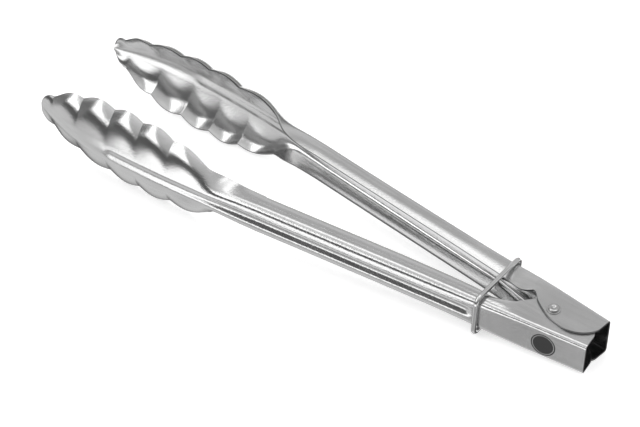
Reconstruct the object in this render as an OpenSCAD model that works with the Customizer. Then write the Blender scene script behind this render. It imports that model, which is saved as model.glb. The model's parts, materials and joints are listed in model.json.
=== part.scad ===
// Spring loaded kitchen tongs: two pressed steel arms on one rivet, a torsion
// spring that pushes them open, and a wire ring that slides along to hold them shut.
// +Z is the pivot axis, +X points to the hinge end, and the heads point to -X.
// The origin is at the middle of the length and width, at the lowest point.

/* [Overall] */
// Length from the tips to the hinge end with the arms open
overall_length = 300; // [270:5:340]
// Angle of each arm from the centre line when the spring holds it open
open_angle = 6.4; // [5.6:0.1:6.4]
// Thickness of the steel sheet
sheet = 1.0; // [0.8:0.1:1.0]

/* [Arms] */
// Distance from the pivot axis to the outer face of each back
back_offset = 12.8; // [12.6:0.1:13]
// Half height of the inner arm's channel at the hinge
inner_half_h = 8.6; // [8.4:0.1:8.6]
// Half height of the outer arm's ears, which fit over the inner arm's
outer_half_h = 9.75; // [9.75:0.05:9.9]
// Distance from the pivot to the hinge end of both arms
tail = 22.6; // [21:0.2:23]
// Width of the stiffening groove along each back
groove_w = 7.2; // [5:0.2:7.6]
// Depth of the stiffening groove
groove_deep = 1.2; // [0.6:0.1:1.4]

/* [Heads] */
// Half width of each scalloped head at its widest valley
head_half_w = 19.9; // [17:0.1:21]
// How far each scallop runs past the valleys beside it
scallop_run = 2.1; // [1:0.1:2.4]
// How far each scallop bulges out of the wall
scallop_bulge = 1.3; // [0.6:0.1:1.5]

/* [Pivot] */
// Radius of the rivet's shank
rivet_r = 1.5; // [1.3:0.05:1.6]
// Radius of the rivet's heads
rivet_head_r = 2.45; // [2.3:0.05:2.6]
// Radial clearance of the rivet in each ear
pivot_gap = 0.06; // [0.03:0.01:0.09]

/* [Spring] */
// Diameter of the spring wire
spring_wire = 1.9; // [1.6:0.1:1.9]
// Radius of the coil, to the middle of the wire
coil_r = 5.2; // [5:0.1:5.4]
// Whole turns of the coil, beyond the part turn between its legs
coil_turns = 5; // [4:1:5]

/* [Locking ring] */
// Diameter of the ring's wire
ring_wire = 2.3; // [2:0.1:2.4]
// Distance of the open ring from the pivot
ring_at = 30; // [29:0.5:32]
// Half length of the ring, to the middle of the wire
ring_half_l = 17.75; // [17.7:0.05:18]
// Half height of the ring, to the middle of the wire
ring_half_h = 10.8; // [10.7:0.1:11.2]

/* [Hidden] */
$fn = 48;

steel = "silver";
bright = "gainsboro";
dark_steel = "darkgray";

// the lengths of the pivot stack, from the mid plane out
stack_gap = 0.05;
washer_t = 0.3;
washer_r = 3.3;
rivet_head_h = 1.0;
sleeve_r = 3.5;

// the tips, in the arm's own frame: u runs from the pivot to the tip,
// v across it to the arm's own back, and w is height over the mid plane
tip_v = -2.9;
tail_reach = tail * cos(open_angle) + back_offset * sin(open_angle);
tip_u = (overall_length - tail_reach + tip_v * sin(open_angle)) / cos(open_angle);
pivot_x = overall_length / 2 - tail_reach;

// ---- curves along the arm ----

// smooth curve through [place, value] points in rising order of place
function seek(t, x, i = 0) = (i >= len(t) - 2 || x < t[i + 1][0]) ? i : seek(t, x, i + 1);
function rise(t, i) =
    let (a = max(i - 1, 0), b = min(i + 1, len(t) - 1))
    (t[b][1] - t[a][1]) / (t[b][0] - t[a][0]);
function hermite(t, x, i) =
    let (h = t[i + 1][0] - t[i][0], s = (x - t[i][0]) / h,
         a = rise(t, i) * h, b = rise(t, i + 1) * h,
         p = t[i][1], q = t[i + 1][1])
    p + a * s + (3 * (q - p) - 2 * a - b) * s * s + (2 * (p - q) + a + b) * s * s * s;
function curve(t, x) =
    x <= t[0][0] ? t[0][1] :
    x >= t[len(t) - 1][0] ? t[len(t) - 1][1] :
    hermite(t, x, seek(t, x));
function ease(a, b, x) =
    let (s = min(1, max(0, (x - a) / (b - a)))) s * s * (3 - 2 * s);

// The head is set out from the tip: d is the distance back from it.
valleys = [7.8, 25, 44, 61, 79, 100];
head_end = 130;
lobe_tip = 7.8;
tip_half_w = 9.0;
// half width and depth of the rim along the valleys
rim_w = [[7.8, tip_half_w], [25, 16], [44, head_half_w - 0.8], [61, head_half_w],
         [79, head_half_w - 1.3], [100, 13.6], [109, 9.6], [118, 7.8], [130, 7.5]];
rim_v = [[0, tip_v], [7.8, -2.7], [25, -2.6], [44, -0.6], [61, 1.3],
         [79, 3.2], [100, 6.1], [109, 3.0], [118, 2.3], [130, 2.5]];
// half width of the back, where the wall turns down from it, and its crown
crease_w = [[0, 0.2], [7.8, 3.8], [25, 7.6], [44, 9.4], [61, 9.6],
            [79, 9.0], [100, 6.8], [118, 7.8], [130, 8.3]];
crown = [[0, 0.02], [7.8, 0.6], [25, 1.7], [44, 2.2], [61, 2.0],
         [79, 1.5], [100, 0.9], [118, 0.6], [150, 0.5], [235, 0.5], [252, 0]];
// the back runs straight, then curves down to the tip in two steps
bow_from = [107.5, 45.5];
bow_rate = [0.00075, 0.0034];
function back_v(d) =
    back_offset - bow_rate[0] * pow(max(0, bow_from[0] - d), 2)
                - bow_rate[1] * pow(max(0, bow_from[1] - d), 2);

// depth of the cut edge along the handle and round each ear
ear_low = 5.8;
ear_r = 14.1;
ear_mid = [-9, ear_r - ear_low];
outer_edge = [[-9, -5.8], [-2, -5.1], [2.5, -3.5], [9, -0.1], [14, 3.6],
              [16.5, 1.2], [20, 0.1], [25, 1.0], [31, 2.1], [45, 2.4], [60, 2.5]];
inner_edge = [[-9, -5.8], [-2, -5.6], [5, -4.8], [10, -3.0], [14, 0.3],
              [17.5, 3.6], [20, 4.7], [24, 5.6], [28.5, 5.9], [36, 4.4], [50, 3.4],
              [75, 2.8]];
// half heights of the cut edge and of the bend along the handle
outer_lip = [[17, outer_half_h], [21, 9.1], [27, 7.9], [34, 7.6], [120, 7.5]];
outer_bend = [[17, outer_half_h], [30, 9.35], [60, 9.2], [120, 8.6], [148, 8.3]];
inner_lip = [[22, inner_half_h], [30, 8.2], [45, 7.6], [120, 7.5]];
inner_bend = [[22, inner_half_h], [60, 8.5], [148, 8.3]];

// which: 0 is the outer arm and 1 the inner arm
function ear_edge(u, which) =
    u < ear_mid[0]
        ? ear_mid[1] - sqrt(pow(ear_r, 2) - pow(ear_mid[0] - u, 2))
        : curve(which == 0 ? outer_edge : inner_edge, u);

// scallops: nothing at each valley and 1 halfway between two
function valley_of(d, i = 0) = (i >= len(valleys) - 2 || d < valleys[i + 1]) ? i : valley_of(d, i + 1);
function scallop(d) =
    d < valleys[0] || d > valleys[len(valleys) - 1] ? 0 :
    let (i = valley_of(d))
    sin(180 * (d - valleys[i]) / (valleys[i + 1] - valleys[i]));

function rim_half(d, u, which) =
    d < lobe_tip ? tip_half_w * sqrt(max(0, 1 - pow(1 - d / lobe_tip, 2))) :
    d < head_end ? curve(rim_w, d) :
    curve(which == 0 ? outer_lip : inner_lip, u);
function rim_depth(d, u, which) =
    d < head_end ? curve(rim_v, d) : ear_edge(u, which);
function crease_half(d, u, which) =
    d < head_end ? curve(crease_w, d) : curve(which == 0 ? outer_bend : inner_bend, u);

// ---- the sheet ----

// the groove pressed into each back: full depth along it, rounded off at its ends
groove_from = 36;
groove_to_d = 46;
function groove(w, u, d) =
    let (along = ease(groove_from - 3, groove_from + 3, u) * ease(groove_to_d - 3, groove_to_d + 3, d),
         across = abs(w) / (groove_w / 2))
    across >= 1 ? 0 : groove_deep * along * (0.5 + 0.5 * cos(180 * across));

bend_reach = 3.4;
// one point of half a section: k counts from the middle of the back to the rim
K_BACK = 3;
K_BEND = 7;
K_RIM = 9;
function half_point(u, k, which) =
    let (d = tip_u - u,
         b = back_v(d), cw = crease_half(d, u, which), cr = curve(crown, d),
         corner = [b - cr, cw],
         rim = [rim_depth(d, u, which), rim_half(d, u, which)],
         wall = norm(rim - corner),
         down = (rim - corner) / max(wall, 0.01),
         reach = min(bend_reach, 0.42 * wall, 0.42 * cw),
         start_w = cw - reach,
         start = [b - cr * pow(start_w / cw, 2), start_w],
         finish = corner + reach * down,
         w_in = [0, min(groove_w / 4, 0.25 * cw), min(groove_w / 2, 0.5 * cw)])
    k < K_BACK ? [b - cr * pow(w_in[k] / cw, 2) - groove(w_in[k], u, d), w_in[k]] :
    k <= K_BEND
        ? let (s = (k - K_BACK) / (K_BEND - K_BACK))
          (1 - s) * (1 - s) * start + 2 * s * (1 - s) * corner + s * s * finish
        : let (s = (k - K_BEND) / (K_RIM - K_BEND),
               lobe = scallop(d), out = [down[1], -down[0]])
          finish + s * (rim - finish)
              + lobe * s * (scallop_run * down * s + scallop_bulge * out);

// a point of the outer face, in [u, v, w]; c counts from one rim over the back to the other
COLS = 2 * K_RIM + 1;
function outer_face(u, c, which) =
    let (side = c < K_RIM ? -1 : 1, p = half_point(u, abs(c - K_RIM), which))
    [u, p[0], side * p[1]];
function unit(p) = p / max(norm(p), 1e-9);
probe = 0.3;
function face_normal(u, c, which) =
    let (lo = max(u - probe, -tail), hi = min(u + probe, tip_u - 0.05),
         along = outer_face(hi, c, which) - outer_face(lo, c, which),
         across = outer_face(u, min(c + 1, COLS - 1), which) - outer_face(u, max(c - 1, 0), which))
    unit(cross(across, along));
function inner_face(u, c, which) =
    outer_face(u, c, which) - sheet * face_normal(u, c, which);

// where the sections stand: close together round the ears, the notch and the scallops
tail_steps = [0, 0.5, 1.5, 3.2, 5.6, 9, 13.6];
hinge_steps = [-4, 0, 4, 8, 11, 14, 15.4, 16.8, 19, 22, 25, 28.5, 33, 36, 39, 50];
neck_steps = [128, 118, 112, 108, 104];
tip_steps = [5.6, 3.6, 2, 0.9, 0.25];
lobe_parts = 6;
STATIONS = concat(
    [for (s = tail_steps) s - tail],
    hinge_steps,
    [for (s = [0.25, 0.5, 0.75]) 50 + s * (tip_u - head_end - 50)],
    [for (s = neck_steps) tip_u - s],
    [for (i = [len(valleys) - 1:-1:1], j = [0:lobe_parts - 1])
        tip_u - valleys[i] - j * (valleys[i - 1] - valleys[i]) / lobe_parts],
    [tip_u - valleys[0]],
    [for (s = tip_steps) tip_u - s]);
ROWS = len(STATIONS);

// in the arm's frame the back faces +v, and the pivot is at u = 0
module pressed_arm(which) {
    outer = [for (u = STATIONS, c = [0:COLS - 1]) outer_face(u, c, which)];
    inner = [for (u = STATIONS, c = [0:COLS - 1]) inner_face(u, c, which)];
    n = ROWS * COLS;
    function at(r, c) = r * COLS + c;
    faces = concat(
        [for (r = [0:ROWS - 2], c = [0:COLS - 2]) each [
            [at(r, c), at(r, c + 1), at(r + 1, c)],
            [at(r, c + 1), at(r + 1, c + 1), at(r + 1, c)]]],
        [for (r = [0:ROWS - 2], c = [0:COLS - 2]) each [
            [n + at(r, c), n + at(r + 1, c), n + at(r, c + 1)],
            [n + at(r, c + 1), n + at(r + 1, c), n + at(r + 1, c + 1)]]],
        [for (r = [0:ROWS - 2]) each [
            [at(r, 0), at(r + 1, 0), n + at(r, 0)],
            [n + at(r, 0), at(r + 1, 0), n + at(r + 1, 0)],
            [at(r, COLS - 1), n + at(r, COLS - 1), at(r + 1, COLS - 1)],
            [n + at(r, COLS - 1), n + at(r + 1, COLS - 1), at(r + 1, COLS - 1)]]],
        [for (c = [0:COLS - 2]) each [
            [at(0, c), n + at(0, c), at(0, c + 1)],
            [at(0, c + 1), n + at(0, c), n + at(0, c + 1)],
            [at(ROWS - 1, c), at(ROWS - 1, c + 1), n + at(ROWS - 1, c)],
            [at(ROWS - 1, c + 1), n + at(ROWS - 1, c + 1), n + at(ROWS - 1, c)]]]);
    difference() {
        polyhedron(points = concat(outer, inner), faces = faces, convexity = 8);
        cylinder(r = rivet_r + pivot_gap, h = 4 * outer_half_h, center = true);
    }
}

// height of the mid plane: the lowest scallop of each head stands on the surface
function lobe_low(i) =
    let (d = (valleys[i] + valleys[i + 1]) / 2) half_point(tip_u - d, K_RIM, 0)[1];
mid_z = max([for (i = [0:len(valleys) - 2]) lobe_low(i)]);

module at_pivot() {
    translate([pivot_x, 0, mid_z]) children();
}

// lays an arm's own frame in place: side is 1 for the arm towards +Y
module arm_place(side) {
    at_pivot()
        mirror([0, side > 0 ? 0 : 1, 0])
            rotate([0, 0, -open_angle])
                mirror([1, 0, 0])
                    children();
}

module outer_arm() {
    color(steel) arm_place(1) pressed_arm(0);
}

module inner_arm() {
    color(steel) arm_place(-1) pressed_arm(1);
}

// ---- the pivot ----

washer_z = outer_half_h + stack_gap;
head_z = washer_z + washer_t;

// half of a rivet head's outline: a domed rim round a small dimple
dimple_r = 0.95;
dimple_deep = 0.45;
module rivet_head() {
    ring_mid = (rivet_head_r + dimple_r) / 2;
    rotate_extrude()
        union() {
            square([ring_mid, rivet_head_h - dimple_deep]);
            intersection() {
                translate([ring_mid, 0])
                    scale((rivet_head_r - dimple_r) / 2)
                        circle(r = 1);
                square([rivet_head_r, rivet_head_h]);
            }
            translate([dimple_r, 0])
                square([rivet_head_r - dimple_r, 0.25]);
        }
}

module pivot_rivet() {
    color(bright) at_pivot() {
        cylinder(r = rivet_r, h = 2 * head_z, center = true);
        for (s = [0, 1])
            mirror([0, 0, s])
                translate([0, 0, head_z])
                    rivet_head();
    }
}

module rivet_washers() {
    color(bright) at_pivot()
        for (s = [0, 1])
            mirror([0, 0, s])
                translate([0, 0, washer_z])
                    difference() {
                        cylinder(r = washer_r, h = washer_t);
                        translate([0, 0, -1])
                            cylinder(r = rivet_r + pivot_gap, h = washer_t + 2);
                    }
}

sleeve_half = inner_half_h - sheet - stack_gap;
module spacer_sleeve() {
    color(dark_steel) at_pivot()
        difference() {
            cylinder(r = sleeve_r, h = 2 * sleeve_half, center = true);
            cylinder(r = rivet_r + pivot_gap, h = 4 * sleeve_half, center = true);
        }
}

// ---- the torsion spring ----

// Each leg leaves the coil along its tangent and lies inside its arm's back,
// one at the foot of the coil and the other at its head.
leg_u = 40;
leg_gap = 0.35;
coil_half = 5.8;
leg_v = back_offset - sheet - spring_wire / 2 - leg_gap;
leg_end = [-leg_u * cos(open_angle) + leg_v * sin(open_angle),
           leg_u * sin(open_angle) + leg_v * cos(open_angle)];
leg_slope = atan2(leg_end[1], -leg_end[0]) - asin(coil_r / norm(leg_end));
coil_from = 90 - leg_slope;
coil_sweep = 2 * coil_from + 360 * coil_turns;
turn_rings = 16;
coil_rings = ceil(coil_sweep / 360 * turn_rings);
function coil_point(i) =
    let (a = coil_from - coil_sweep * i / coil_rings)
    [coil_r * cos(a), coil_r * sin(a), coil_half * (2 * i / coil_rings - 1)];
spring_path = concat(
    [[leg_end[0], leg_end[1], -coil_half], [leg_end[0] / 2, (leg_end[1] + coil_r) / 2, -coil_half]],
    [for (i = [0:coil_rings]) coil_point(i)],
    [[leg_end[0] / 2, -(leg_end[1] + coil_r) / 2, coil_half], [leg_end[0], -leg_end[1], coil_half]]);

// a tube of the given radius along a path that stays near the XY plane
WIRE_SIDES = 8;
module wire_tube(path, r) {
    last = len(path) - 1;
    function heading(i) = unit(path[min(i + 1, last)] - path[max(i - 1, 0)]);
    function beside(i) = unit(cross([0, 0, 1], heading(i)));
    function ring_point(i, a) =
        path[i] + r * (cos(a) * beside(i) + sin(a) * cross(heading(i), beside(i)));
    function at(i, k) = i * WIRE_SIDES + k % WIRE_SIDES;
    polyhedron(
        points = [for (i = [0:last], k = [0:WIRE_SIDES - 1]) ring_point(i, 360 * k / WIRE_SIDES)],
        faces = concat(
            [[for (k = [0:WIRE_SIDES - 1]) at(0, k)]],
            [for (i = [0:last - 1], k = [0:WIRE_SIDES - 1])
                [at(i, k), at(i + 1, k), at(i + 1, k + 1), at(i, k + 1)]],
            [[for (k = [WIRE_SIDES - 1:-1:0]) at(last, k)]]),
        convexity = 12);
}

module torsion_spring() {
    color(dark_steel) at_pivot() wire_tube(spring_path, spring_wire / 2);
}

// ---- the locking ring ----

ring_corner = 3.2;
module locking_ring() {
    r = ring_wire / 2;
    straight_y = ring_half_l - ring_corner;
    straight_z = ring_half_h - ring_corner;
    color(bright) at_pivot() translate([-ring_at, 0, 0])
        for (s = [0, 1]) {
            mirror([0, 0, s])
                translate([0, 0, ring_half_h])
                    rotate([90, 0, 0])
                        cylinder(r = r, h = 2 * straight_y, center = true);
            mirror([0, s, 0])
                translate([0, ring_half_l, 0])
                    cylinder(r = r, h = 2 * straight_z, center = true);
            for (q = [0, 1])
                mirror([0, s, 0]) mirror([0, 0, q])
                    translate([0, straight_y, straight_z])
                        rotate([90, 0, 90])
                            rotate_extrude(angle = 90)
                                translate([ring_corner, 0])
                                    circle(r = r);
        }
}

outer_arm();
inner_arm();
pivot_rivet();
rivet_washers();
spacer_sleeve();
torsion_spring();
locking_ring();
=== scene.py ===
"""Spring loaded kitchen tongs: the finished look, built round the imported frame.

Two pressed arms of thin polished steel turn on one rivet. A torsion spring on the rivet pushes them open, and
a wire ring slides along them to hold them shut. Sizes are in millimetres in each maker class, and every mesh
is written in metres in the frame's own axes: +X towards the hinge, +Z along the rivet.
"""
import json
import logging
import math
from dataclasses import dataclass, field, replace
from enum import Enum
from typing import Sequence

import bmesh
import bpy
import numpy as np
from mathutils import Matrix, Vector


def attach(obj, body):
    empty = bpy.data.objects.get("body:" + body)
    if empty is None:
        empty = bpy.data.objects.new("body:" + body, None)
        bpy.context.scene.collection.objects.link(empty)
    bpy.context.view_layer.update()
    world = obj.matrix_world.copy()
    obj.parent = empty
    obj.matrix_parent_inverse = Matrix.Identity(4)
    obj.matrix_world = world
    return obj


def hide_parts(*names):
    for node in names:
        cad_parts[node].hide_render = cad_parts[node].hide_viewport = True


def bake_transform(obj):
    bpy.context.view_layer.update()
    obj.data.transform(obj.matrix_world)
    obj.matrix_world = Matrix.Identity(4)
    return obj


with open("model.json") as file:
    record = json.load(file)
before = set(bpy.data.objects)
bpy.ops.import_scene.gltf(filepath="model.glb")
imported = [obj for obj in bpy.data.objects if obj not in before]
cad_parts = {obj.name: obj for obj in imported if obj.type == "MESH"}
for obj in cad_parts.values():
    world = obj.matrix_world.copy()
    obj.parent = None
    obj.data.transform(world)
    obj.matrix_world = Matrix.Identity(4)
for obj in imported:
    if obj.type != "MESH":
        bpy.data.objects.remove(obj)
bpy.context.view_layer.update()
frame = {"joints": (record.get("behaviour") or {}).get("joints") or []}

MM = 0.001
WELD = 1e-7  # metres; points closer than this become one
HOLE_R = 1.56  # the hole for the rivet, through each ear, washer and the sleeve
Point = tuple[float, float, float]
Station = tuple[np.ndarray, np.ndarray, np.ndarray, float]
Socket = bpy.types.NodeSocket
log = logging.getLogger("tongs")


# ---------------------------------------------------------------- small helpers


@dataclass(frozen=True)
class Curve:
    """A smooth curve through (place, value) points in rising order of place, level beyond both ends."""

    points: tuple[tuple[float, float], ...]

    def _rise(self, i: int) -> float:
        """The slope at one point, from the points on either side.

        Args:
            i: The point's number.

        Returns:
            The slope.
        """
        a = max(i - 1, 0)
        b = min(i + 1, len(self.points) - 1)
        return (self.points[b][1] - self.points[a][1]) / (self.points[b][0] - self.points[a][0])

    def __call__(self, x: float) -> float:
        """The curve's value.

        Args:
            x: The place to read it at.

        Returns:
            The value there.
        """
        pts = self.points
        if x <= pts[0][0]:
            return pts[0][1]
        if x >= pts[-1][0]:
            return pts[-1][1]
        i = max(k for k in range(len(pts) - 1) if pts[k][0] <= x)
        (x0, p), (x1, q) = pts[i], pts[i + 1]
        h = x1 - x0
        s = (x - x0) / h
        a, b = self._rise(i) * h, self._rise(i + 1) * h
        return p + a * s + (3 * (q - p) - 2 * a - b) * s * s + (2 * (p - q) + a + b) * s**3


def ease(start: float, end: float, x: float) -> float:
    """A smooth step.

    Args:
        start: Where it is still 0.
        end: Where it reaches 1.
        x: The place to read it at.

    Returns:
        A value from 0 to 1.
    """
    s = min(1.0, max(0.0, (x - start) / (end - start)))
    return s * s * (3 - 2 * s)


def unit(v: np.ndarray) -> np.ndarray:
    """The vectors of an array, each scaled to length 1."""
    return v / np.maximum(np.linalg.norm(v, axis=-1, keepdims=True), 1e-12)


def mesh_object(name: str, points: np.ndarray, faces: Sequence[Sequence[int]], sharp_deg: float,
                finishes: Sequence[int] | None = None) -> bpy.types.Object:
    """Makes one closed, smooth-shaded mesh object.

    Args:
        name: The piece's name.
        points: Its points in millimetres, in the frame's axes.
        faces: Its faces, as lists of point numbers.
        sharp_deg: Edges that turn by more than this stay crisp.
        finishes: The number of each face's finish, where the piece has more than one.

    Returns:
        The object, linked to the scene.
    """
    mesh = bpy.data.meshes.new(name)
    mesh.from_pydata([tuple(p) for p in np.asarray(points, float) * MM], [], [tuple(f) for f in faces])
    if finishes is not None:
        mesh.polygons.foreach_set("material_index", list(finishes))
    work = bmesh.new()
    work.from_mesh(mesh)
    bmesh.ops.remove_doubles(work, verts=work.verts, dist=WELD)
    bmesh.ops.recalc_face_normals(work, faces=work.faces)
    work.to_mesh(mesh)
    work.free()
    mesh.shade_smooth()
    mesh.set_sharp_from_angle(angle=math.radians(sharp_deg))
    piece = bpy.data.objects.new(name, mesh)
    bpy.context.scene.collection.objects.link(piece)
    return piece


def ring_faces(rings: int, size: int, closed: bool) -> list[tuple[int, ...]]:
    """The quads between neighbouring rings of points.

    Args:
        rings: How many rings there are.
        size: How many points each ring has.
        closed: Whether the last ring joins the first.

    Returns:
        The faces.
    """
    faces = []
    for r in range(rings if closed else rings - 1):
        nxt = (r + 1) % rings
        for k in range(size):
            j = (k + 1) % size
            faces.append((r * size + k, nxt * size + k, nxt * size + j, r * size + j))
    return faces


def lathe(name: str, profile: Sequence[tuple[float, float]], centre: Point, sides: int,
          sharp_deg: float = 40) -> bpy.types.Object:
    """Turns an outline round the rivet's axis.

    Args:
        name: The piece's name.
        profile: (radius, height) points in millimetres; a closed outline, or one with both ends on the axis.
        centre: The axis point that heights are counted from, in millimetres.
        sides: How many steps make a full turn.
        sharp_deg: Edges that turn by more than this stay crisp.

    Returns:
        The lathed piece.
    """
    on_axis = profile[0][0] == 0
    rows = profile[1:-1] if on_axis else profile
    turn = [2 * math.pi * k / sides for k in range(sides)]
    points = [(centre[0] + r * math.cos(a), centre[1] + r * math.sin(a), centre[2] + z)
              for r, z in rows for a in turn]
    faces = ring_faces(len(rows), sides, not on_axis)
    if on_axis:
        for row, (_, z) in ((0, profile[0]), (len(rows) - 1, profile[-1])):
            tip = len(points)
            points.append((centre[0], centre[1], centre[2] + z))
            faces += [(tip, row * sides + k, row * sides + (k + 1) % sides) for k in range(sides)]
    return mesh_object(name, np.array(points), faces, sharp_deg)


@dataclass(frozen=True)
class Wire:
    """Round wire of one thickness, swept along a path."""

    radius: float
    sides: int = 20
    nose_steps: int = 4
    nose_share: float = 0.35
    sharp_deg: float = 50

    def sweep(self, name: str, path: np.ndarray, closed: bool,
              noses: tuple[bool, bool] = (True, True)) -> bpy.types.Object:
        """Sweeps the wire.

        Args:
            name: The piece's name.
            path: Points along the wire's middle, in millimetres.
            closed: Whether the wire's ends meet.
            noses: Whether the first and the last end are rounded off; otherwise they are flat.

        Returns:
            The swept piece.
        """
        count = len(path)
        if closed:
            heading = unit(np.roll(path, -1, 0) - np.roll(path, 1, 0))
        else:
            heading = unit(np.gradient(path, axis=0))
        beside = np.empty_like(path)
        start = np.cross([0.0, 0.0, 1.0], heading[0])
        beside[0] = start if np.linalg.norm(start) > 0.1 else np.cross([0.0, 1.0, 0.0], heading[0])
        for i in range(1, count):
            beside[i] = beside[i - 1] - heading[i] * float(beside[i - 1] @ heading[i])
            beside[i] = unit(beside[i])
        beside[0] = unit(beside[0])
        over = np.cross(heading, beside)
        stations = [(path[i], beside[i], over[i], self.radius) for i in range(count)]
        if not closed:
            stations = self._nose(stations, heading, noses)
        angles = 2 * math.pi * np.arange(self.sides) / self.sides
        points = np.concatenate([
            p + r * (np.cos(angles)[:, None] * b + np.sin(angles)[:, None] * o) for p, b, o, r in stations])
        faces = ring_faces(len(stations), self.sides, closed)
        if not closed:
            last = (len(stations) - 1) * self.sides
            faces.append(tuple(range(self.sides)))
            faces.append(tuple(range(last, last + self.sides)))
        return mesh_object(name, points, faces, self.sharp_deg)

    def _nose(self, stations: list[Station], heading: np.ndarray, noses: tuple[bool, bool]) -> list[Station]:
        """Adds the shrinking rings of each rounded end.

        Args:
            stations: The rings so far, as (middle, beside, over, radius).
            heading: The wire's direction at each ring.
            noses: Which ends are rounded.

        Returns:
            The rings with the ends added.
        """
        edge = self.nose_share * self.radius
        for end, wanted in enumerate(noses):
            if not wanted:
                continue
            p, b, o, r = stations[0] if end == 0 else stations[-1]
            way = -heading[0] if end == 0 else heading[-1]
            extra = []
            for k in range(1, self.nose_steps + 1):
                a = 0.5 * math.pi * k / self.nose_steps
                extra.append((p + way * edge * math.sin(a), b, o, r - edge * (1 - math.cos(a))))
            stations = extra[::-1] + stations if end == 0 else stations + extra
        return stations


# ---------------------------------------------------------------- finishes


class MixKind(Enum):
    """What a mix node mixes: its data type, and the numbers of its two inputs and of its output."""

    NUMBERS = ("FLOAT", 2, 3, 0)
    GREYS = ("RGBA", 6, 7, 2)


@dataclass(frozen=True)
class NodeWork:
    """A node tree being wired, with the steps that the finishes and the surround share."""

    nodes: bpy.types.Nodes
    links: bpy.types.NodeLinks

    def noise(self, where: Socket, scale: float, detail: float) -> Socket:
        """A noise texture's value over the surface.

        Args:
            where: The socket that gives the place.
            scale: How fine the noise is, per metre.
            detail: How many finer layers it holds.

        Returns:
            The socket with the value, about 0.5 on average.
        """
        noise = self.nodes.new("ShaderNodeTexNoise")
        noise.inputs["Scale"].default_value = scale
        noise.inputs["Detail"].default_value = detail
        self.links.new(where, noise.inputs["Vector"])
        return noise.outputs["Fac"]

    def times_plus(self, value: Socket, factor: float, plus: Socket | float) -> Socket:
        """A value times a factor, plus a number or another value.

        Args:
            value: The socket with the value.
            factor: What it is multiplied by.
            plus: What is added, as a number or as a socket.

        Returns:
            The socket with the result.
        """
        step = self.nodes.new("ShaderNodeMath")
        step.operation = "MULTIPLY_ADD"
        step.inputs[1].default_value = factor
        self.links.new(value, step.inputs[0])
        if isinstance(plus, float):
            step.inputs[2].default_value = plus
        else:
            self.links.new(plus, step.inputs[2])
        return step.outputs["Value"]

    def spread(self, middle: float, parts: Sequence[tuple[Socket, float]]) -> Socket:
        """A value that wanders about a middle.

        Args:
            middle: The value's middle.
            parts: (socket, amount) pairs; each socket moves the value by its amount, up or down.

        Returns:
            The socket with the sum.
        """
        total = middle - sum(amount for _, amount in parts)
        for source, amount in parts:
            total = self.times_plus(source, 2 * amount, total)
        return total

    def share(self, place: Socket, span: tuple[float, float], shape: str = "LINEAR") -> Socket:
        """How far a place lies along a span.

        Args:
            place: The socket with the place.
            span: Where the share is 0 and where it is 1.
            shape: LINEAR, or SMOOTHSTEP for a soft start and end.

        Returns:
            The socket with the share, from 0 to 1.
        """
        step = self.nodes.new("ShaderNodeMapRange")
        step.interpolation_type = shape
        step.inputs["From Min"].default_value = span[0]
        step.inputs["From Max"].default_value = span[1]
        self.links.new(place, step.inputs["Value"])
        return step.outputs["Result"]

    def ramp(self, share: Socket, stops: Sequence[tuple[float, float]]) -> Socket:
        """A grey that depends on a share.

        Args:
            share: The socket with the share, from 0 to 1.
            stops: (share, grey) pairs in rising order.

        Returns:
            The socket with the grey.
        """
        shape = self.nodes.new("ShaderNodeValToRGB")
        elements = shape.color_ramp.elements
        while len(elements) < len(stops):
            elements.new(0.5)
        for element, (place, level) in zip(elements, stops):
            element.position = place
            element.color = (level, level, level, 1)
        self.links.new(share, shape.inputs["Fac"])
        return shape.outputs["Color"]

    def mix(self, kind: MixKind, share: Socket, low: Socket, high: Socket | float) -> Socket:
        """Goes from one value to another.

        Args:
            kind: Whether the values are numbers or greys.
            share: The socket with how far it has gone, from 0 to 1.
            low: The socket with the value at 0.
            high: The value at 1, as a number or as a socket.

        Returns:
            The socket with the result.
        """
        data_type, first, second, result = kind.value
        step = self.nodes.new("ShaderNodeMix")
        step.data_type = data_type
        self.links.new(share, step.inputs[0])
        self.links.new(low, step.inputs[first])
        if isinstance(high, float):
            step.inputs[second].default_value = high
        else:
            self.links.new(high, step.inputs[second])
        return step.outputs[result]

    def bump(self, height: Socket, depth: float, under: Socket | None) -> Socket:
        """Fine relief.

        Args:
            height: The socket with the height, from 0 to 1.
            depth: How deep the relief is, in millimetres.
            under: The socket with the relief that it lies on, if there is one.

        Returns:
            The socket with the surface's direction.
        """
        layer = self.nodes.new("ShaderNodeBump")
        layer.inputs["Strength"].default_value = 1.0
        layer.inputs["Distance"].default_value = depth * MM
        self.links.new(height, layer.inputs["Height"])
        if under is not None:
            self.links.new(under, layer.inputs["Normal"])
        return layer.outputs["Normal"]


class GrainWay(Enum):
    """Which way a finish's grain is drawn out, as its scale along X, Y and Z."""

    ALONG_X = (0.06, 1.0, 1.0)
    ALONG_Y = (1.0, 0.1, 1.0)
    EVEN = (1.0, 1.0, 1.0)


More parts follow.
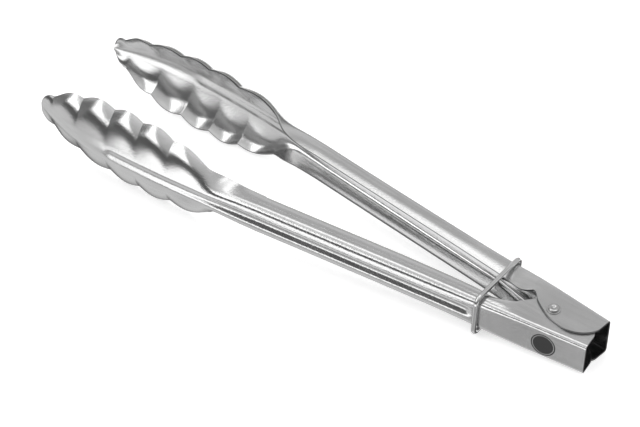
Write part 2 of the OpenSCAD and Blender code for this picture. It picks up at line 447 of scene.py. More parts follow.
@dataclass(frozen=True)
class EtchedSpot:
    """A plain round mark etched into a flat of the steel, with a fine bright line inside its edge."""

    centre: Point
    radius: float
    line_at: float = 0.82
    line_w: float = 0.05
    line_share: float = 0.25
    edge: float = 0.015
    tone: float = 0.06
    roughness: float = 0.45

    def mask(self, work: NodeWork, where: Socket) -> Socket:
        """A mask that is 1 on the etched spot and 0 elsewhere.

        Args:
            work: The tree that is being wired.
            where: The socket that gives the place.

        Returns:
            The socket with the mask.
        """
        apart = work.nodes.new("ShaderNodeVectorMath")
        apart.operation = "DISTANCE"
        apart.inputs[1].default_value = [c * MM for c in self.centre]
        work.links.new(where, apart.inputs[0])
        share = work.share(apart.outputs["Value"], (0.0, self.radius * MM))
        line_end = self.line_at + self.line_w
        return work.ramp(share, [
            (self.line_at - self.edge, 1), (self.line_at, self.line_share), (line_end, self.line_share),
            (line_end + self.edge, 1), (1 - 2 * self.edge, 1), (1 - self.edge, 0)])


@dataclass(frozen=True)
class Steel:
    """One steel finish: fine drawn grain, soft cloudiness, faint scratches and fine speckle."""

    name: str
    tone: float
    roughness: float
    grain: GrainWay
    grain_bump: float = 0.012
    speckle_bump: float = 0.06
    spot: EtchedSpot | None = None
    anisotropy: float = 0.25
    grain_fine: float = 2600.0
    speckle_fine: float = 1500.0
    scratch_fine: float = 700.0
    cloud_fine: float = 45.0

    def material(self) -> bpy.types.Material:
        """Builds the finish's node tree.

        Returns:
            The material.
        """
        mat = bpy.data.materials.new(self.name)
        mat.use_nodes = True
        work = NodeWork(mat.node_tree.nodes, mat.node_tree.links)
        shader = work.nodes["Principled BSDF"]
        shader.inputs["Metallic"].default_value = 1.0
        shader.inputs["Anisotropic"].default_value = self.anisotropy
        where = work.nodes.new("ShaderNodeTexCoord").outputs["Object"]
        drawn = work.nodes.new("ShaderNodeMapping")
        drawn.inputs["Scale"].default_value = self.grain.value
        work.links.new(where, drawn.inputs["Vector"])
        grain = work.noise(drawn.outputs["Vector"], self.grain_fine, 3.0)
        scratch = work.noise(drawn.outputs["Vector"], self.scratch_fine, 5.0)
        speckle = work.noise(where, self.speckle_fine, 2.0)
        cloud = work.noise(where, self.cloud_fine, 3.0)
        rough = work.spread(self.roughness, [(cloud, 0.05), (scratch, 0.05), (grain, 0.04)])
        tone = work.spread(self.tone, [(cloud, 0.05), (scratch, 0.04)])
        if self.spot is not None:
            mask = self.spot.mask(work, where)
            tone = work.mix(MixKind.NUMBERS, mask, tone, self.spot.tone)
            rough = work.mix(MixKind.NUMBERS, mask, rough, self.spot.roughness)
        tint = work.nodes.new("ShaderNodeCombineColor")
        for channel in ("Red", "Green", "Blue"):
            work.links.new(tone, tint.inputs[channel])
        work.links.new(tint.outputs["Color"], shader.inputs["Base Color"])
        work.links.new(rough, shader.inputs["Roughness"])
        relief = work.bump(speckle, self.speckle_bump, work.bump(grain, self.grain_bump, None))
        work.links.new(relief, shader.inputs["Normal"])
        return mat


# ---------------------------------------------------------------- the arms


class ArmKind(Enum):
    """The two stampings: their node and body name, and the side they lie on."""

    OUTER = ("outer_arm", 1)
    INNER = ("inner_arm", -1)

    @property
    def body(self) -> str:
        """The name of the arm's node and body."""
        return self.value[0]

    @property
    def side(self) -> int:
        """1 for the arm towards +Y, and -1 for the other."""
        return self.value[1]


@dataclass(frozen=True)
class Hinge:
    """Where both arms turn, and the angle at which each stands open."""

    centre: Point
    open_deg: float = 6.4

    def place(self, local: np.ndarray, side: int) -> np.ndarray:
        """Moves points from an arm's own axes to the frame's.

        Args:
            local: Points as (u towards the tip, v towards the back, w upwards), in millimetres.
            side: 1 for the arm towards +Y, and -1 for the other.

        Returns:
            The points in the frame's axes, in millimetres.
        """
        a = math.radians(self.open_deg)
        u, v, w = local[..., 0], local[..., 1], local[..., 2]
        x = self.centre[0] - u * math.cos(a) + v * math.sin(a)
        y = self.centre[1] + side * (u * math.sin(a) + v * math.cos(a))
        return np.stack([x, y, self.centre[2] + w], axis=-1)


@dataclass
class PressedArm:
    """One arm: a channel with ears, a groove along its back and a scalloped, scooped head.

    u runs from the pivot to the tip, v from the centre line to the arm's back, w is height over the middle,
    and d is the distance back from the tip. back_curves are (amount, d) pairs: from each d the back curves in
    towards the tip. station_steps are (u, step) pairs: how close the sections stand from each u on.
    """

    kind: ArmKind
    hinge: Hinge
    # the sheet, and the back's line from the tail to the tip
    sheet: float = 1.0
    edge_round: float = 0.16
    back: float = 12.8
    back_curves: tuple[tuple[float, float], ...] = ((0.00075, 107.5), (0.0034, 45.5))
    tail: float = 22.6
    tip_u: float = 277.52
    # the rivet's hole, and the ear's round corner about ear_mid
    hole_r: float = HOLE_R
    drill_half: float = 20.0
    ear_r: float = 14.1
    ear_mid: tuple[float, float] = (-9.0, 8.3)
    # the groove: its width, its depth against d, and where it fades in and out
    groove_w: float = 7.2
    groove_deep: Curve = Curve(((46, 0.6), (85, 0.7), (125, 1.2), (150, 1.3)))
    groove_from: float = 36.0
    groove_to_d: float = 46.0
    groove_fade: float = 3.0
    groove_share: float = 0.5
    # the bend between back and wall, and the slight bow of the handle's flanges
    bend_reach: Curve = Curve(((8, 1.9), (40, 3.2), (150, 3.8)))
    bend_share: float = 0.42
    flange_bow: float = 0.35
    bow_from: tuple[float, float] = (11, 25)
    # the head: its rounded tip, the valleys of its rim, and how its crease dips in at each valley
    head_end: float = 130.0
    lobe_tip: float = 7.8
    tip_half_w: float = 9.0
    valleys: tuple[float, ...] = (7.8, 25, 44, 61, 79, 100)
    valley_dip: float = 0.8
    dip_at_tip: tuple[float, float] = (2, 12)
    dip_at_neck: tuple[float, float] = (112, 92)
    # the head's round wall: how steep it ends, and how far inside the head's end and last valley it starts
    rim_deg: Curve = Curve(((8, 34), (24, 67)))
    round_from: float = 8.0
    round_full: float = 2.0
    # the lobes: how far each runs past the rim and bulges out, the bulge's form, and how creased it stays
    scallop_run: float = 2.1
    scallop_bulge: float = 2.1
    bulge_turn: float = 0.8
    bulge_power: float = 1.5
    full_wall: float = 8.0
    lobe_crease: float = 0.4
    tip_lobe: float = 0.2
    # outlines: half the rim's width, its v, half the crease's width and the back's crown, each against d
    rim_w: Curve = Curve(((7.8, 9), (25, 16), (44, 19.1), (61, 19.9), (79, 18.6), (100, 13.6), (109, 9.6),
                          (118, 7.8), (130, 7.5)))
    rim_v: Curve = Curve(((0, -2.9), (7.8, -2.7), (25, -2.6), (44, -0.6), (61, 1.3), (79, 3.2), (100, 6.1),
                          (109, 3.0), (118, 2.3), (130, 2.5)))
    crease_w: Curve = Curve(((0, 0.2), (7.8, 3.8), (25, 7.6), (44, 9.4), (61, 9.6), (79, 9.0), (100, 6.8),
                             (118, 7.8), (130, 8.3)))
    crown: Curve = Curve(((0, 0.02), (7.8, 0.6), (25, 1.7), (44, 2.2), (61, 2.0), (79, 1.5), (100, 0.9),
                          (118, 0.6), (150, 0.8), (225, 0.8), (252, 0)))
    # outlines of the handle against u: the flange's edge (v), and half the height of its lip and of its bend
    ear_edge: dict[ArmKind, Curve] = field(default_factory=lambda: {
        ArmKind.OUTER: Curve(((-9, -5.8), (-2, -5.1), (2.5, -3.5), (9, -0.1), (14, 3.6), (16.5, 1.2),
                              (20, 0.1), (25, 1.0), (31, 2.1), (45, 2.4), (60, 2.5))),
        ArmKind.INNER: Curve(((-9, -5.8), (-2, -5.6), (5, -4.8), (10, -3.0), (14, 0.3), (17.5, 3.6),
                              (20, 4.7), (24, 5.6), (28.5, 5.9), (36, 4.4), (50, 3.4), (75, 2.8)))})
    lip_h: dict[ArmKind, Curve] = field(default_factory=lambda: {
        ArmKind.OUTER: Curve(((17, 9.75), (21, 9.1), (27, 7.9), (34, 7.6), (120, 7.5))),
        ArmKind.INNER: Curve(((22, 8.6), (30, 8.2), (45, 7.6), (120, 7.5)))})
    bend_h: dict[ArmKind, Curve] = field(default_factory=lambda: {
        ArmKind.OUTER: Curve(((17, 9.75), (30, 9.35), (60, 9.2), (120, 8.6), (148, 8.3))),
        ArmKind.INNER: Curve(((22, 8.6), (60, 8.5), (148, 8.3)))})
    # how fine the mesh is
    groove_cols: int = 9
    flat_cols: int = 5
    bend_cols: int = 9
    wall_cols: int = 10
    lobe_rows: int = 16
    tip_rows: int = 12
    tip_gap: float = 0.06
    tail_steps: tuple[float, ...] = (0, 0.15, 0.4, 0.8, 1.3, 2, 2.9, 4, 5.3, 6.7, 8.2)
    station_steps: tuple[tuple[float, float], ...] = ((-13, 1.1), (13, 0.25), (18, 0.8), (42, 4.0))
    neck_step: float = 1.2
    edge_swell: tuple[tuple[float, float], ...] = (
        (0.06, 0.62), (0.2, 0.93), (0.5, 1.0), (0.8, 0.93), (0.94, 0.62))
    sharp_deg: float = 24

    def _back_v(self, d: float) -> float:
        """How far the back stands off the centre line.

        Args:
            d: Distance back from the tip.

        Returns:
            The back's v.
        """
        v = self.back
        for amount, start in self.back_curves:
            v -= amount * max(0.0, start - d) ** 2
        return v

    def _scallop(self, d: float) -> float:
        """How much of a lobe there is: 0 at each valley of the rim and 1 halfway between two.

        Args:
            d: Distance back from the tip.

        Returns:
            The lobe's share.
        """
        if d > self.valleys[-1]:
            return 0.0
        if d < self.valleys[0]:
            return self.tip_lobe * math.cos(0.5 * math.pi * d / self.valleys[0])
        i = max(k for k in range(len(self.valleys) - 1) if self.valleys[k] <= d)
        return math.sin(math.pi * (d - self.valleys[i]) / (self.valleys[i + 1] - self.valleys[i]))

    def _rim(self, u: float, d: float) -> tuple[float, float]:
        """The rim at one station, before the scallops.

        Args:
            u: The station.
            d: The same place, counted back from the tip.

        Returns:
            The rim's (v, w).
        """
        if d >= self.head_end:
            edge = self.ear_edge[self.kind](u)
            if u < self.ear_mid[0]:
                edge = self.ear_mid[1] - math.sqrt(self.ear_r**2 - (self.ear_mid[0] - u) ** 2)
            return edge, self.lip_h[self.kind](u)
        if d < self.lobe_tip:
            return self.rim_v(d), self.tip_half_w * math.sqrt(max(0.0, 1 - (1 - d / self.lobe_tip) ** 2))
        return self.rim_v(d), self.rim_w(d)

    def _crease_half(self, u: float, d: float) -> float:
        """Half the back's width, where the wall turns down; narrower at each valley of the head.

        Args:
            u: The station.
            d: The same place, counted back from the tip.

        Returns:
            The crease's w.
        """
        if d >= self.head_end:
            return self.bend_h[self.kind](u)
        dip = ease(*self.dip_at_tip, d) * ease(*self.dip_at_neck, d) * (1 - self._scallop(d))
        return self.crease_w(d) - self.valley_dip * dip

    def _groove(self, w: float, u: float, d: float) -> float:
        """The depth of the groove along the back.

        Args:
            w: Height over the middle.
            u: The station.
            d: The same place, counted back from the tip.

        Returns:
            The depth.
        """
        across = abs(w) / (self.groove_w / 2)
        if across >= 1:
            return 0.0
        fade = self.groove_fade
        along = ease(self.groove_from - fade, self.groove_from + fade, u)
        along *= ease(self.groove_to_d - fade, self.groove_to_d + fade, d)
        return self.groove_deep(d) * along * (0.5 + 0.5 * math.cos(math.pi * across))

    def _half_section(self, u: float) -> np.ndarray:
        """The outer face from the middle of the back to the rim, at one station.

        Args:
            u: The station.

        Returns:
            (v, w) points.
        """
        d = self.tip_u - u
        b, cw, cr = self._back_v(d), self._crease_half(u, d), self.crown(d)
        corner = np.array([b - cr, cw])
        rim = np.array(self._rim(u, d))
        wall = float(np.linalg.norm(rim - corner))
        down = (rim - corner) / max(wall, 0.01)
        out = np.array([down[1], -down[0]])
        reach = min(self.bend_reach(u), self.bend_share * wall, self.bend_share * cw)
        start_w = cw - reach
        start = np.array([b - cr * (start_w / cw) ** 2, start_w])
        finish = corner + reach * down
        groove_edge = min(self.groove_w / 2, self.groove_share * cw)
        heights = [groove_edge * k / self.groove_cols for k in range(self.groove_cols)]
        heights += [groove_edge + (start_w - groove_edge) * k / self.flat_cols for k in range(self.flat_cols)]
        back = np.array([[b - cr * (w / cw) ** 2 - self._groove(w, u, d), w] for w in heights])
        s = np.arange(self.bend_cols + 1)[:, None] / self.bend_cols
        bend = (1 - s) ** 2 * start + 2 * s * (1 - s) * corner + s * s * finish
        s = np.arange(1, self.wall_cols + 1)[:, None] / self.wall_cols
        bow = self.flange_bow * ease(self.valleys[-1], self.head_end, d) * ease(*self.bow_from, u)
        creased = np.concatenate([bend, finish + s * (rim - finish) + bow * np.sin(math.pi * s) * out])
        leave = unit(np.array([-2 * cr * start_w / cw**2, 1.0]))
        rounded, s = self._arc(start, leave, rim, math.radians(self.rim_deg(d)), creased)
        bulge = self.scallop_bulge * np.sin(self.bulge_turn * math.pi * s**self.bulge_power)
        swell = self.scallop_run * s * s * down + bulge * out
        lobe = self._scallop(d) * min(1.0, wall / self.full_wall)
        share = ease(self.head_end - self.round_from, self.valleys[-1] - self.round_full, d)
        share *= 1 - self.lobe_crease * lobe
        return np.concatenate([back, (1 - share) * creased + share * rounded + lobe * swell])

    @staticmethod
    def _arc(start: np.ndarray, leave: np.ndarray, end: np.ndarray, steep: float,
             like: np.ndarray) -> tuple[np.ndarray, np.ndarray]:
        """The head's round wall, spaced as another line is.

        Args:
            start: Its first point.
            leave: Its direction there.
            end: Its last point.
            steep: How far it has turned down from the back's plane there, in radians.
            like: The line whose spacing it takes.

        Returns:
            Its points, and how far along each one is.
        """
        steps = np.concatenate([[0.0], np.cumsum(np.linalg.norm(np.diff(like, axis=0), axis=1))])
        s = (steps / steps[-1])[:, None]
        pull = float(np.linalg.norm(end - start)) / 3
        a, b = start + pull * leave, end - pull * np.array([-math.sin(steep), math.cos(steep)])
        return (1 - s) ** 3 * start + 3 * s * (1 - s) ** 2 * a + 3 * s * s * (1 - s) * b + s**3 * end, s

    def _stations(self) -> list[float]:
        """Where the sections stand, close together wherever the shape turns.

        Returns:
            The stations' u, from the tail to the tip.
        """
        places = [step - self.tail for step in self.tail_steps]
        head_u, neck_u = self.tip_u - self.head_end, self.tip_u - self.valleys[-1]
        stretches = [*self.station_steps, (head_u, self.neck_step), (neck_u, 0.0)]
        for (start, step), (end, _) in zip(stretches, stretches[1:]):
            count = max(1, round((end - start) / step))
            places += [start + (end - start) * k / count for k in range(count)]
        for near, far in reversed(list(zip(self.valleys, self.valleys[1:]))):
            for k in range(self.lobe_rows):
                even = k / self.lobe_rows
                crowded = 0.5 - 0.5 * math.cos(math.pi * even)
                places.append(self.tip_u - far + (far - near) * (0.5 * even + 0.5 * crowded))
        for k in range(self.tip_rows):
            places.append(self.tip_u - self.valleys[0] * (1 - math.sin(0.5 * math.pi * k / self.tip_rows)))
        return places + [self.tip_u - self.tip_gap]

    def _edge(self, outer: np.ndarray, inner: np.ndarray, way: np.ndarray) -> list[np.ndarray]:
        """The points round a cut edge of the sheet, from its outer to its inner face.

        Args:
            outer: The edge's points on the outer face.
            inner: Their partners on the inner face.
            way: The direction in which the sheet ends.

        Returns:
            Rows of points between the two.
        """
        rows = []
        for share, swell in self.edge_swell:
            rows.append(outer + share * (inner - outer) + self.edge_round * swell * way)
        return rows

    def _loops(self) -> np.ndarray:
        """Closed loops of points round the sheet, one for each station, in the arm's own axes.

        Returns:
            An array of (station, point, 3).
        """
        rows = []
        for u in self._stations():
            half = self._half_section(u)
            full = np.concatenate([half[:0:-1] * [1, -1], half])
            rows.append(np.column_stack([np.full(len(full), u), full]))
        outer = np.array(rows)
        along = np.gradient(outer, axis=0)
        across = np.gradient(outer, axis=1)
        normal = unit(np.cross(across, along))
        inner = outer - self.sheet * normal
        low = unit(outer[:, 0] - outer[:, 1])
        high = unit(outer[:, -1] - outer[:, -2])
        parts = [outer]
        parts += [row[:, None] for row in self._edge(outer[:, -1], inner[:, -1], high)]
        parts += [inner[:, ::-1]]
        parts += [row[:, None] for row in self._edge(outer[:, 0], inner[:, 0], low)[::-1]]
        return np.concatenate(parts, axis=1)

    def build(self) -> bpy.types.Object:
        """Makes the arm's mesh, bored for the rivet.

        Returns:
            The arm, standing for its frame node and riding on its body.
        """
        loops = self._loops()
        rings, size = loops.shape[:2]
        cols = 2 * (self.groove_cols + self.flat_cols + self.bend_cols + self.wall_cols) + 1
        edge = (size - 2 * cols) // 2
        faces = ring_faces(rings, size, False)
        for row in (0, rings - 1):
            at = row * size
            for c in range(cols - 1):
                faces.append((at + c, at + c + 1, at + 2 * cols + edge - 2 - c, at + 2 * cols + edge - 1 - c))
            faces.append(tuple(at + cols - 1 + k for k in range(edge + 2)))
            faces.append(tuple(at + (2 * cols + edge - 1 + k) % size for k in range(edge + 2)))
        points = self.hinge.place(loops.reshape(-1, 3), self.kind.side)
        # The cut-edge columns. Their faces, and the end faces, take finish 1: the darkened edge steel that
        # carries painted shade.
        shaded_cut_edges = set(range(cols - 1, cols + edge)) | set(range(2 * cols + edge - 1, size))
        finishes = [1 if k % size in shaded_cut_edges else 0 for k in range((rings - 1) * size)]
        finishes += [1] * (len(faces) - len(finishes))
        arm = mesh_object(self.kind.body + "_sheet", points, faces, self.sharp_deg, finishes)
        self._bore(arm)
        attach(arm, self.kind.body)
        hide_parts(self.kind.body)
        return arm

    def _bore(self, arm: bpy.types.Object) -> None:
        """Cuts the rivet's hole through both ears.

        Args:
            arm: The arm, which gets the bored mesh.
        """
        half = self.drill_half
        outline = [(0, -half), (self.hole_r, -half), (self.hole_r, half), (0, half)]
        drill = lathe("drill", outline, self.hinge.centre, 48)
        cut = arm.modifiers.new("bore", "BOOLEAN")
        cut.operation = "DIFFERENCE"
        cut.solver = "EXACT"
        cut.object = drill
        graph = bpy.context.evaluated_depsgraph_get()
        bored = bpy.data.meshes.new_from_object(arm.evaluated_get(graph))
        arm.modifiers.clear()
        arm.data = bored
        bpy.data.objects.remove(drill)

    def spot_place(self, u: float, w: float) -> Point:
        """A point on the arm's back.

        Args:
            u: Distance from the pivot towards the tip, in millimetres.
            w: Height over the middle, in millimetres.

        Returns:
            The point in the frame's axes, in millimetres.
        """
        return tuple(self.hinge.place(np.array([u, self.back, w]), self.kind.side))


# ---------------------------------------------------------------- pivot, spring and ring


@dataclass
class RivetStack:
    """The rivet through all four ears, a washer under each head, and the sleeve between the inner ears."""

    hinge: Hinge
    shank_r: float = 1.5
    bore_r: float = HOLE_R
    head_from: float = 10.1
    head_r: float = 2.45
    head_h: float = 1.0
    dimple_r: float = 0.95
    dimple_floor: float = 0.5
    washer_from: float = 9.8
    washer_t: float = 0.3
    washer_r: float = 3.3
    sleeve_half: float = 7.55
    sleeve_r: float = 3.5
    chamfer: float = 0.35
    washer_edge: float = 0.07
    lip_deg: float = 168.0
    lip_steps: int = 14
    sides: int = 96

    def _head(self) -> list[tuple[float, float]]:
        """A head's outline: a shallow dish, a round lip about it, and a foot that is eased in a little.

        Returns:
            (radius, height) points from the middle of the dish out to the foot.
        """
        lip_mid = (self.head_r + self.dimple_r) / 2
        lip_half = (self.head_r - self.dimple_r) / 2
        points = [(r, self.dimple_floor - sunk) for r, sunk in ((0.0, 0.08), (0.3, 0.07), (0.6, 0.02))]
        low = self.dimple_floor + 0.06
        for k in range(self.lip_steps + 1):
            a = math.radians(self.lip_deg * (1 - k / self.lip_steps))
            points.append((lip_mid + lip_half * math.cos(a), low + (self.head_h - low) * math.sin(a)))
        return points + [(self.head_r, 0.12), (self.head_r - 0.06, 0.02), (self.head_r - 0.16, 0.0)]

    def rivet(self) -> bpy.types.Object:
        """Makes the rivet: a straight shank between two dimpled heads.

        Returns:
            The rivet.
        """
        top = [(r, self.head_from + z) for r, z in self._head()] + [(self.shank_r, self.head_from)]
        profile = top + [(r, -z) for r, z in reversed(top)]
        piece = lathe("rivet", profile, self.hinge.centre, self.sides)
        return self._settle(piece, "pivot_rivet", "rivet_steel")

    def washer(self, up: int) -> bpy.types.Object:
        """Makes one washer.

        Args:
            up: 1 for the upper washer, and -1 for the lower.

        Returns:
            The washer.
        """
        r0, r1, t, e = self.bore_r, self.washer_r, self.washer_t, self.washer_edge
        rounded = [(r1 - e, 0), (r1, e), (r1, t - e), (r1 - e / 2, t - e / 6), (r1 - 1.6 * e, t)]
        outline = [(r0, 0), *rounded, (r0, t)]
        profile = [(r, up * (self.washer_from + z)) for r, z in outline]
        piece = lathe("washer_upper" if up > 0 else "washer_lower", profile, self.hinge.centre, self.sides)
        return self._settle(piece, "rivet_washers", "rivet_steel")

    def sleeve(self) -> bpy.types.Object:
        """Makes the spacer sleeve, with a chamfer at each end.

        Returns:
            The sleeve.
        """
        r0, r1, h, c = self.bore_r, self.sleeve_r, self.sleeve_half, self.chamfer
        profile = [(r0, -h), (r1 - c, -h), (r1, -h + c), (r1, h - c), (r1 - c, h), (r0, h)]
        piece = lathe("spacer_tube", profile, self.hinge.centre, self.sides, 30)
        return self._settle(piece, "spacer_sleeve", "sleeve_steel")

    @staticmethod
    def _settle(piece: bpy.types.Object, node: str, slot: str) -> bpy.types.Object:
        """Fixes a piece to the pivot body in place of its frame node.

        Args:
            piece: The piece.
            node: The frame node that it stands for.
            slot: The name meant for its material slot; not used.

        Returns:
            The same piece.
        """
        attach(piece, "pivot")
        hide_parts(node)
        return piece


@dataclass
class TorsionSpring:
    """The coil round the sleeve and its two legs, in two halves that meet in the middle of the coil.

    Each half winds round the pivot along its coil and reaches over to its own arm along its leg.
    """

    hinge: Hinge
    wire: Wire = Wire(radius=0.95, sides=20)
    coil_r: float = 5.2
    coil_half: float = 5.8
    turns: int = 5
    leg_u: float = 40.0
    leg_v: float = 10.5
    steps_per_turn: int = 40
    leg_steps: int = 40
    blend_from: float = 7.0

    def _leg_end(self) -> tuple[float, float]:
        """Where the leg ends on the outer arm's side.

        Returns:
            Its x and y from the pivot.
        """
        a = math.radians(self.hinge.open_deg)
        x = -self.leg_u * math.cos(a) + self.leg_v * math.sin(a)
        return x, self.leg_u * math.sin(a) + self.leg_v * math.cos(a)

    def _half_path(self, side: int) -> np.ndarray:
        """One half's middle line, from its leg's end to the middle of the coil.

        Args:
            side: 1 for the half whose leg lies in the outer arm, and -1 for the other.

        Returns:
            The points in millimetres, in the frame's axes.
        """
        ex, ey = self._leg_end()
        slope = math.atan2(ey, -ex) - math.asin(self.coil_r / math.hypot(ex, ey))
        first = math.pi / 2 - slope
        sweep = first + math.pi * self.turns
        dx, dy = self.coil_r * math.cos(first) - ex, self.coil_r * math.sin(first) - ey
        path = [(ex + dx * k / self.leg_steps, ey + dy * k / self.leg_steps, -self.coil_half)
                for k in range(self.leg_steps)]
        count = round(self.steps_per_turn * sweep / (2 * math.pi))
        for k in range(count + 1):
            a, z = first - sweep * k / count, -self.coil_half * (1 - k / count)
            path.append((self.coil_r * math.cos(a), self.coil_r * math.sin(a), z))
        return np.array(path) * [1, side, side] + np.array(self.hinge.centre)

    def build(self, kind: ArmKind) -> bpy.types.Object:
        """Makes one half of the spring.

        Args:
            kind: The arm that its leg lies in.

        Returns:
            The half, running between the pivot and that arm.
        """
        path = self._half_path(kind.side)
        name = "spring_half_outer" if kind is ArmKind.OUTER else "spring_half_inner"
        half = self.wire.sweep(name, path, False, (True, False))
        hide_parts("torsion_spring")
        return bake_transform(half)


@dataclass
class LockingRing:
    """The rounded rectangle of wire that slides along both arms."""

    hinge: Hinge
    wire: Wire = Wire(radius=1.15, sides=28)
    reach: float = 30.0
    half_l: float = 17.75
    half_h: float = 10.8
    corner_r: float = 3.2
    corner_steps: int = 14
    side_steps: int = 8

    def build(self) -> bpy.types.Object:
        """Makes the ring.

        Returns:
            The ring, sliding on its own body.
        """
        my, mz = self.half_l - self.corner_r, self.half_h - self.corner_r
        corners = [(my, mz, 0), (-my, mz, 90), (-my, -mz, 180), (my, -mz, 270)]
        line = []
        for i, (y, z, start) in enumerate(corners):
            for k in range(self.corner_steps + 1):
                a = math.radians(start + 90 * k / self.corner_steps)
                line.append((y + self.corner_r * math.cos(a), z + self.corner_r * math.sin(a)))
            y1, z1, next_start = corners[(i + 1) % 4]
            a = math.radians(next_start)
            goal = (y1 + self.corner_r * math.cos(a), z1 + self.corner_r * math.sin(a))
            here = line[-1]
            for k in range(1, self.side_steps):
                s = k / self.side_steps
                line.append((here[0] + s * (goal[0] - here[0]), here[1] + s * (goal[1] - here[1])))
        x0, y0, z0 = self.hinge.centre
        path = np.array([(x0 - self.reach, y0 + y, z0 + z) for y, z in line])
        ring = self.wire.sweep("ring_wire", path, True)
        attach(ring, "locking_ring")
        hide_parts("locking_ring")
        return ring


# ---------------------------------------------------------------- the studio


@dataclass(frozen=True)
class SkyBand:
    """One run of the studio's surrounding light, from straight down to straight up.

    stops are (elevation in degrees, brightness) pairs.
    """

    stops: tuple[tuple[float, float], ...]

    def ramp(self, work: NodeWork, height: Socket) -> Socket:
        """The brightness of the band at a direction's height.

        Args:
            work: The tree that is being wired.
            height: The socket with the height, 0 straight down and 1 straight up.

        Returns:
            The socket with the brightness.
        """
        places = [0.5 + 0.5 * math.sin(math.radians(elevation)) for elevation, _ in self.stops]
        return work.ramp(height, [(place, level) for place, (_, level) in zip(places, self.stops)])


@dataclass(frozen=True)
class Seam:
    """Where one band gives way to the next, along one axis, and how far that edge leans with height."""

    span: tuple[float, float]
    lean: float = 0.0

    def join(self, work: NodeWork, along: Socket, up: Socket, low: Socket, high: Socket) -> Socket:
        """Goes from one band to the next.

        Args:
            work: The tree that is being wired.
            along: The socket with the place along the axis.
            up: The socket with the direction's rise.
            low: The socket with the brightness before the seam.
            high: The socket with the brightness after it.

        Returns:
            The socket with the result.
        """
        share = work.share(work.times_plus(up, self.lean, along), self.span, "SMOOTHSTEP")
        return work.mix(MixKind.GREYS, share, low, high)


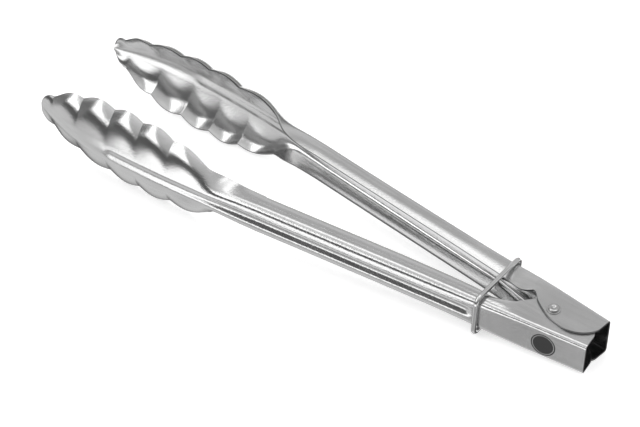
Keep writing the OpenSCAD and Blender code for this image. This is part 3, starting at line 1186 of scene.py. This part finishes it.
@dataclass
class Studio:
    """The surround of soft light panels, the floor that the tongs lie on, and the camera."""

    hinge: Hinge
    strength: float = 2.6
    far_left: SkyBand = SkyBand((
        (-90, 0.34), (-30, 0.33), (-12, 0.12), (20, 0.08), (40, 0.2), (60, 0.35), (90, 0.4)))
    left: SkyBand = SkyBand((
        (-90, 0.34), (-44, 0.33), (-17, 0.33), (-10, 0.07), (13, 0.04), (20, 0.85), (54, 1.0), (65, 0.36),
        (90, 0.4)))
    middle: SkyBand = SkyBand((
        (-90, 0.34), (-56, 0.32), (-44, 0.17), (-39, 0.19), (-33, 0.75), (-17, 0.75), (-10, 0.07),
        (13, 0.04), (20, 0.85), (54, 1.0), (65, 0.36), (90, 0.4)))
    right: SkyBand = SkyBand((
        (-90, 0.34), (-50, 0.25), (-30, 0.35), (-8, 0.25), (0, 0.05), (16, 0.08), (26, 0.22), (60, 0.3),
        (90, 0.4)))
    rear: SkyBand = SkyBand((
        (-90, 0.3), (-50, 0.03), (-38, 0.03), (-25, 0.6), (-14, 0.6), (-8, 0.1), (6, 0.1), (16, 0.3),
        (30, 0.33), (40, 0.24), (48, 0.22), (56, 0.28), (64, 0.85), (76, 0.6), (90, 0.4)))
    left_seam: Seam = Seam((-0.86, -0.77), -0.15)
    middle_seam: Seam = Seam((-0.5, -0.43))
    right_seam: Seam = Seam((0.1, 0.2), 0.7)
    rear_seam: Seam = Seam((-0.12, 0.12))
    # the floor: half its side in metres, its glow, its gap, and how far from the pivot it can be touched
    floor_half: float = 6.0
    floor_glow: float = 0.5
    floor_gap: float = 0.01
    foot_reach: float = 5.0
    head_away: float = 100.0
    # the camera
    target: Point = (0.914, -6.0, 22.214)
    distance: float = 1387.0
    azimuth: float = 34.15
    elevation: float = 42.99
    roll: float = 3.02
    lens: float = 167.06
    sensor: float = 36.0

    def sky(self) -> bpy.types.World:
        """Lights the scene from a surround whose brightness depends on direction only.

        Returns:
            The world.
        """
        world = bpy.data.worlds.new("studio")
        bpy.context.scene.world = world
        world.use_nodes = True
        work = NodeWork(world.node_tree.nodes, world.node_tree.links)
        axes = work.nodes.new("ShaderNodeSeparateXYZ")
        work.links.new(work.nodes.new("ShaderNodeTexCoord").outputs["Generated"], axes.inputs["Vector"])
        x, y, z = axes.outputs["X"], axes.outputs["Y"], axes.outputs["Z"]
        height = work.share(z, (-1.0, 1.0))
        light = self.far_left.ramp(work, height)
        for seam, along, band in ((self.left_seam, x, self.left), (self.middle_seam, x, self.middle),
                                  (self.right_seam, x, self.right), (self.rear_seam, y, self.rear)):
            light = seam.join(work, along, z, light, band.ramp(work, height))
        background = work.nodes["Background"]
        background.inputs["Strength"].default_value = self.strength
        work.links.new(light, background.inputs["Color"])
        return world

    def floor(self, resting: Sequence[bpy.types.Object]) -> bpy.types.Object:
        """Lays a plain pale floor under the tongs, on the slope on which they really rest.

        Args:
            resting: The pieces that may touch it.

        Returns:
            The floor.
        """
        points = np.concatenate([np.array([v.co for v in piece.data.vertices]) for piece in resting])
        near_pivot = points[points[:, 0] > (self.hinge.centre[0] - self.foot_reach) * MM]
        foot = near_pivot[np.argmin(near_pivot[:, 2])]
        ahead = points[points[:, 0] < foot[0] - self.head_away * MM]
        slope = float(np.max((foot[2] - ahead[:, 2]) / (foot[0] - ahead[:, 0])))
        half = self.floor_half
        corners = [(x, y, foot[2] + slope * (x - foot[0]) - self.floor_gap * MM)
                   for x, y in ((-half, -half), (half, -half), (half, half), (-half, half))]
        mesh = bpy.data.meshes.new("floor")
        mesh.from_pydata(corners, [], [(0, 1, 2, 3)])
        ground = bpy.data.objects.new("floor", mesh)
        bpy.context.scene.collection.objects.link(ground)
        mat = bpy.data.materials.new("floor_white")
        mat.use_nodes = True
        shader = mat.node_tree.nodes["Principled BSDF"]
        shader.inputs["Base Color"].default_value = (0.9, 0.9, 0.9, 1)
        shader.inputs["Roughness"].default_value = 0.9
        shader.inputs["Specular IOR Level"].default_value = 0.1
        shader.inputs["Emission Color"].default_value = (1, 1, 1, 1)
        shader.inputs["Emission Strength"].default_value = self.floor_glow
        mesh.materials.append(mat)
        ground.visible_glossy = False
        return ground

    def camera(self) -> bpy.types.Object:
        """Sets the camera up, level with the floor that the tongs lie on.

        Returns:
            The camera.
        """
        a, e, r = (math.radians(x) for x in (self.azimuth, self.elevation, self.roll))
        back = Vector((math.sin(a) * math.cos(e), -math.cos(a) * math.cos(e), math.sin(e)))
        right = Vector((0, 0, 1)).cross(back).normalized()
        up = back.cross(right)
        right, up = math.cos(r) * right + math.sin(r) * up, math.cos(r) * up - math.sin(r) * right
        data = bpy.data.cameras.new("camera")
        data.lens = self.lens
        data.sensor_width = self.sensor
        data.clip_start = 0.05
        data.clip_end = 50.0
        eye = bpy.data.objects.new("camera", data)
        place = Vector(self.target) * MM + back * self.distance * MM
        matrix = eye.matrix_world.copy()
        for column, axis in enumerate((right, up, back, place)):
            for row in range(3):
                matrix[row][column] = axis[row]
        eye.matrix_world = matrix
        bpy.context.scene.collection.objects.link(eye)
        bpy.context.scene.camera = eye
        return eye


# ---------------------------------------------------------------- the whole


@dataclass
class Tongs:
    """Every piece of the tongs, and the finish that each one wears."""

    hinge: Hinge
    spot_u: float = -2.1
    spot_w: float = -0.9
    spot_r: float = 6.3
    made: list[bpy.types.Object] = field(default_factory=list)

    def _add(self, piece: bpy.types.Object, *mats: bpy.types.Material) -> None:
        """Dresses a piece in its finishes and reports it.

        Args:
            piece: The piece.
            mats: Its finishes, in the order of its material slots.
        """
        for place, mat in enumerate(mats):
            if place < len(piece.data.materials):
                piece.data.materials[place] = mat
            else:
                piece.data.materials.append(mat)
        self.made.append(piece)
        log.info("%s: %d faces, finish %s", piece.name, len(piece.data.polygons), [m.name for m in mats])

    def build(self) -> list[bpy.types.Object]:
        """Builds and dresses every piece in order.

        Returns:
            The pieces.
        """
        inner, outer = PressedArm(ArmKind.INNER, self.hinge), PressedArm(ArmKind.OUTER, self.hinge)
        spot = EtchedSpot(inner.spot_place(self.spot_u, self.spot_w), self.spot_r)
        sheet = Steel("polished_sheet", 0.58, 0.17, GrainWay.ALONG_X)
        marked = replace(sheet, name="polished_sheet_marked", spot=spot)
        bright = Steel("bright_rivet", 0.5, 0.16, GrainWay.EVEN, 0.006, 0.008)
        # Duller, darker steel. On the sleeve it is the sleeve's own finish; on the washers its darkness is
        # painted shade for the dark ring round the rivet's foot.
        sleeve_and_washer_shade = Steel("dull_sleeve_and_washer_painted_shade", 0.4, 0.35, GrainWay.EVEN, 0.01, 0.01)
        drawn = Steel("drawn_spring_wire", 0.5, 0.24, GrainWay.ALONG_X, 0.01, 0.01)
        ring_wire = Steel("bright_ring_wire", 0.62, 0.15, GrainWay.ALONG_Y, 0.006, 0.008)
        # Cut edges: a duller sheared steel, partly its own finish, darkened further as painted shade for the
        # shadow line in the gap under each ear.
        shaded_cut_edges = Steel("cut_edge_painted_shade", 0.26, 0.34, GrainWay.EVEN, 0.02, 0.02).material()
        self._add(outer.build(), sheet.material(), shaded_cut_edges)
        self._add(inner.build(), marked.material(), shaded_cut_edges)
        stack = RivetStack(self.hinge)
        self._add(stack.rivet(), bright.material())
        sleeve_and_washer_shade_mat = sleeve_and_washer_shade.material()
        for piece in (stack.washer(1), stack.washer(-1), stack.sleeve()):
            self._add(piece, sleeve_and_washer_shade_mat)
        spring = TorsionSpring(self.hinge)
        spring_wire = drawn.material()
        for kind in ArmKind:
            self._add(spring.build(kind), spring_wire)
        self._add(LockingRing(self.hinge).build(), ring_wire.material())
        return self.made


def hinge_centre() -> Point:
    """The pivot point that the frame gives, in millimetres."""
    joint = next(j for j in frame["joints"] if j["name"] == "outer_arm_hinge")
    return tuple(c / MM for c in joint["pos_m"])


def main() -> None:
    """Builds the camera, the tongs and the studio."""
    logging.basicConfig(level=logging.INFO, format="%(name)s: %(message)s")
    hinge = Hinge(hinge_centre())
    studio = Studio(hinge)
    studio.camera()
    pieces = Tongs(hinge).build()
    studio.floor(pieces)
    studio.sky()
    bpy.context.scene.view_settings.view_transform = "Standard"


if __name__ == "__main__":
    main()
